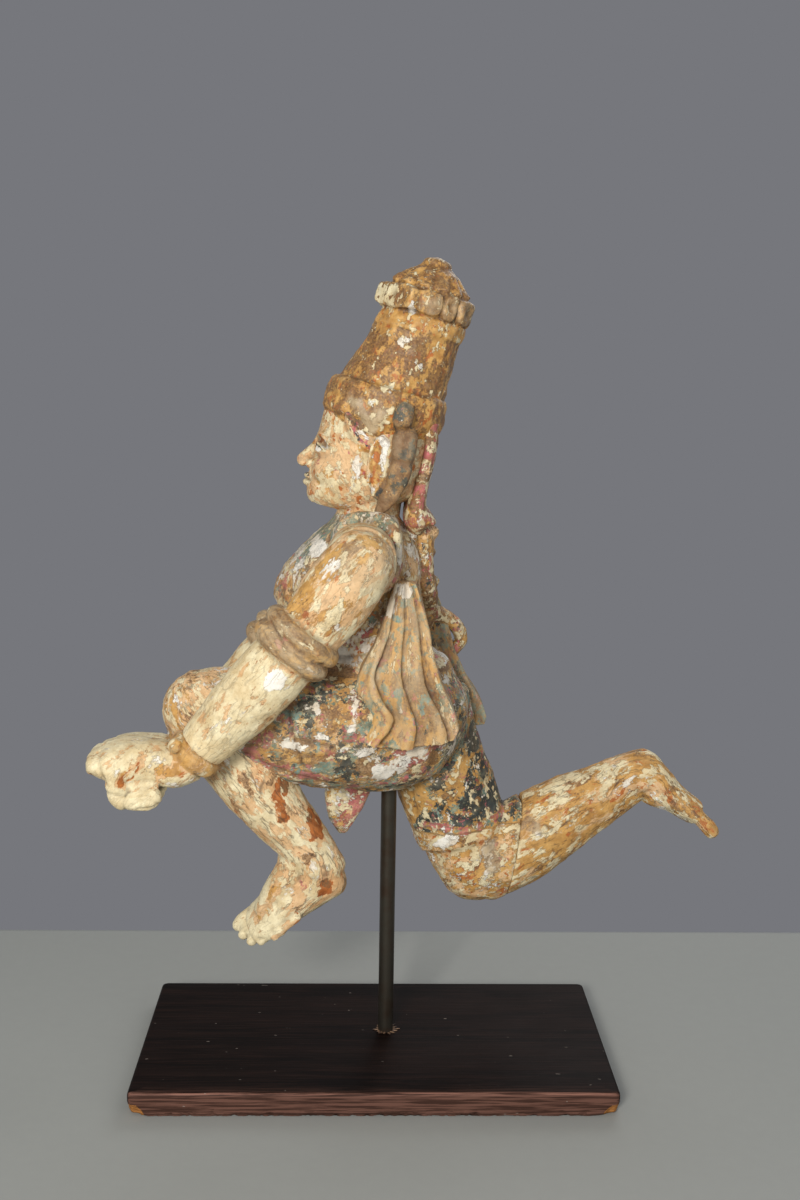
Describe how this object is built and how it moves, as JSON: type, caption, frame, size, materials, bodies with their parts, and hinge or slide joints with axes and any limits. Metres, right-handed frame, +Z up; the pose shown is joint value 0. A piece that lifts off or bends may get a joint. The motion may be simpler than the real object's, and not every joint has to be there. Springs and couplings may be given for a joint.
{
  "type": "temple guardian figure",
  "caption": "Carved and painted wooden running guardian in a tall crown, on a steel rod and a plank base.",
  "frame": {"origin": "centre of the base board's underside", "axes": "+Z up, the guardian runs towards -X, its left side faces -Y"},
  "size_m": [0.5308, 0.2409, 0.6522],
  "materials": {
    "painted_body": "old flaking paint on carved wood",
    "painted_limb": "old flaking cream and ochre paint on carved wood",
    "dark_steel": "dark brown-black patina",
    "stained_wood": "dark stain, satin, worn edges"
  },
  "bodies": {
    "root": {"guardian_body": "painted_body", "left_arm": "painted_limb", "right_arm": "painted_limb", "left_hand": "painted_limb", "right_hand": "painted_limb", "right_lower_leg": "painted_limb", "steel_rod": "dark_steel", "base_board": "stained_wood"}
  },
  "joints": []
}
